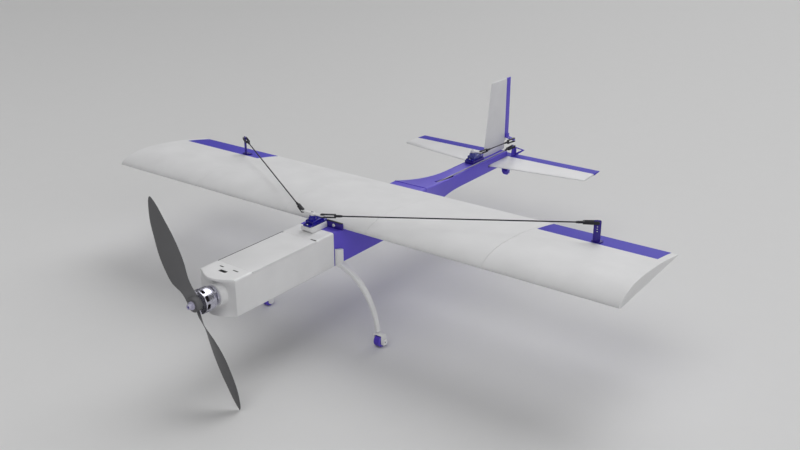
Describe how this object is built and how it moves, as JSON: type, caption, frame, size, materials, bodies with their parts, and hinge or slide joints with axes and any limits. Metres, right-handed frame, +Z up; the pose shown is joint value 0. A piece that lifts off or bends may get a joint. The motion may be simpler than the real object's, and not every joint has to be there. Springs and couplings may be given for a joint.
{
  "type": "fixed wing drone",
  "caption": "High-wing electric model aeroplane with tractor propeller, taildragger gear, and ailerons, rudder and elevator worked by servo pushrods.",
  "frame": {"origin": "centre of the underside of the bounding box, level with the bottom of the main wheels in the level flight attitude", "axes": "+Z up, nose towards -Y, left wing (as the pilot sits) towards +X"},
  "size_m": [0.8, 0.6966, 0.2426],
  "materials": {
    "white_plastic": "smooth satin white",
    "purple_plastic": "smooth satin purple",
    "clear_blue_plastic": "translucent blue case",
    "dark_purple_plastic": "dark translucent purple",
    "dark_grey_plastic": "fine matte",
    "black_plastic": "fine matte",
    "carbon_tube": "satin",
    "steel": "drawn wire",
    "aluminium": "turned and polished",
    "winding": "enamelled winding",
    "battery_wrap": "heat-shrink wrap",
    "circuit_board": "lacquered board"
  },
  "bodies": {
    "airframe": {"aileron_hinge_wire_left": "steel", "aileron_hinge_wire_right": "steel", "aileron_servo": "clear_blue_plastic", "aileron_servo_mount": "white_plastic", "battery": "battery_wrap", "centre_fuselage": "purple_plastic", "elevator_hinge_wire": "steel", "elevator_servo": "clear_blue_plastic", "fin": "white_plastic", "front_fuselage": "white_plastic", "gear_leg_left": "white_plastic", "gear_leg_right": "white_plastic", "motor_base": "aluminium", "motor_stator": "winding", "nose_cowl": "white_plastic", "radio_receiver": "black_plastic", "rear_fuselage": "purple_plastic", "rudder_hinge_wire": "steel", "rudder_servo": "clear_blue_plastic", "rudder_servo_mount": "dark_purple_plastic", "speed_controller": "circuit_board", "stabilizer": "white_plastic", "tail_wheel_axle": "steel", "tail_wheel_fork": "purple_plastic", "wheel_axle_left": "white_plastic", "wheel_axle_right": "white_plastic", "wheel_fork_left": "white_plastic", "wheel_fork_right": "white_plastic", "wing_centre": "white_plastic", "wing_inner_left": "white_plastic", "wing_inner_right": "white_plastic", "wing_outer_left": "white_plastic", "wing_outer_right": "white_plastic", "wing_saddle_plate": "dark_purple_plastic", "wing_spar": "carbon_tube"},
    "prop_drive": {"motor_bell": "aluminium", "motor_shaft": "steel", "propeller": "dark_grey_plastic", "prop_nut": "aluminium"},
    "hatch": {"battery_hatch": "white_plastic"},
    "aileron_arm": {"aileron_servo_arm": "white_plastic"},
    "aileron_rod_left": {"aileron_left_pushrod": "black_plastic"},
    "aileron_rod_right": {"aileron_right_pushrod": "black_plastic"},
    "aileron_panel_left": {"aileron_left": "purple_plastic", "aileron_horn_left": "dark_purple_plastic"},
    "aileron_panel_right": {"aileron_right": "purple_plastic", "aileron_horn_right": "dark_purple_plastic"},
    "rudder_arm": {"rudder_servo_arm": "white_plastic"},
    "rudder_rod": {"rudder_pushrod": "black_plastic"},
    "rudder_panel": {"rudder": "purple_plastic", "rudder_horn": "purple_plastic"},
    "elevator_arm": {"elevator_servo_arm": "white_plastic"},
    "elevator_rod": {"elevator_pushrod": "black_plastic"},
    "elevator_panel": {"elevator": "purple_plastic", "elevator_horn": "purple_plastic"},
    "main_wheel_left": {"wheel_left": "purple_plastic"},
    "main_wheel_right": {"wheel_right": "purple_plastic"},
    "rear_wheel": {"tail_wheel": "purple_plastic"}
  },
  "joints": [
    {"name": "propeller_spin", "type": "hinge", "parent": "airframe", "child": "prop_drive", "pos_m": [0, -0.33915, 0.1147], "axis": [0, 1, 0], "continuous": true},
    {"name": "main_wheel_left_spin", "type": "hinge", "parent": "airframe", "child": "main_wheel_left", "pos_m": [0.0965, -0.13185, 0.0075], "axis": [1, 0, 0], "continuous": true},
    {"name": "main_wheel_right_spin", "type": "hinge", "parent": "airframe", "child": "main_wheel_right", "pos_m": [-0.0965, -0.13185, 0.0075], "axis": [1, 0, 0], "continuous": true},
    {"name": "tail_wheel_spin", "type": "hinge", "parent": "airframe", "child": "rear_wheel", "pos_m": [0, 0.34275, 0.0825], "axis": [1, 0, 0], "continuous": true},
    {"name": "battery_hatch_lift", "type": "slide", "parent": "airframe", "child": "hatch", "axis": [0, 0, 1], "range_m": [0, 0.06]},
    {"name": "aileron_servo_turn", "type": "hinge", "parent": "airframe", "child": "aileron_arm", "pos_m": [0, -0.14155, 0.1602], "axis": [0, 0, 1], "range_deg": [-20, 20]},
    {"name": "aileron_rod_left_swing", "type": "hinge", "parent": "aileron_arm", "child": "aileron_rod_left", "pos_m": [0.0163, -0.14155, 0.1602], "axis": [0, 0, 1], "range_deg": [-20, 20]},
    {"name": "aileron_rod_right_swing", "type": "hinge", "parent": "aileron_arm", "child": "aileron_rod_right", "pos_m": [-0.0163, -0.14155, 0.1602], "axis": [0, 0, 1], "range_deg": [-20, 20]},
    {"name": "aileron_left_hinge", "type": "hinge", "parent": "airframe", "child": "aileron_panel_left", "pos_m": [0.3142, 0.00565, 0.1466], "axis": [1, 0, 0], "range_deg": [-13, 13]},
    {"name": "aileron_right_hinge", "type": "hinge", "parent": "airframe", "child": "aileron_panel_right", "pos_m": [-0.3142, 0.00565, 0.1466], "axis": [1, 0, 0], "range_deg": [-13, 13]},
    {"name": "rudder_servo_turn", "type": "hinge", "parent": "airframe", "child": "rudder_arm", "pos_m": [-0.001, 0.23675, 0.1448], "axis": [0, 0, 1], "range_deg": [-27, 27]},
    {"name": "rudder_rod_swing", "type": "hinge", "parent": "rudder_arm", "child": "rudder_rod", "pos_m": [0.0135, 0.23675, 0.1448], "axis": [0, 0, 1], "range_deg": [-27, 27]},
    {"name": "rudder_hinge", "type": "hinge", "parent": "airframe", "child": "rudder_panel", "pos_m": [0, 0.33275, 0.1928], "axis": [0, 0, 1], "range_deg": [-19, 19]},
    {"name": "elevator_servo_turn", "type": "hinge", "parent": "airframe", "child": "elevator_arm", "pos_m": [0.0085, 0.08375, 0.1117], "axis": [1, 0, 0], "range_deg": [-20, 20]},
    {"name": "elevator_rod_swing", "type": "hinge", "parent": "elevator_arm", "child": "elevator_rod", "pos_m": [0.0085, 0.08375, 0.1268], "axis": [1, 0, 0], "range_deg": [-20, 20]},
    {"name": "elevator_hinge", "type": "hinge", "parent": "airframe", "child": "elevator_panel", "pos_m": [0, 0.32395, 0.1153], "axis": [1, 0, 0], "range_deg": [-17.7, 17.7]}
  ],
  "couplings": [
    {"joint": "aileron_rod_left_swing", "follows": "aileron_servo_turn", "ratio": -1},
    {"joint": "aileron_rod_right_swing", "follows": "aileron_servo_turn", "ratio": -1},
    {"joint": "aileron_left_hinge", "follows": "aileron_servo_turn", "ratio": -0.6105},
    {"joint": "aileron_right_hinge", "follows": "aileron_servo_turn", "ratio": 0.6105},
    {"joint": "rudder_rod_swing", "follows": "rudder_hinge", "ratio": -1.4138},
    {"joint": "rudder_servo_turn", "follows": "rudder_hinge", "ratio": 1.4138},
    {"joint": "elevator_rod_swing", "follows": "elevator_hinge", "ratio": -1.1258},
    {"joint": "elevator_servo_turn", "follows": "elevator_hinge", "ratio": 1.1258}
  ]
}
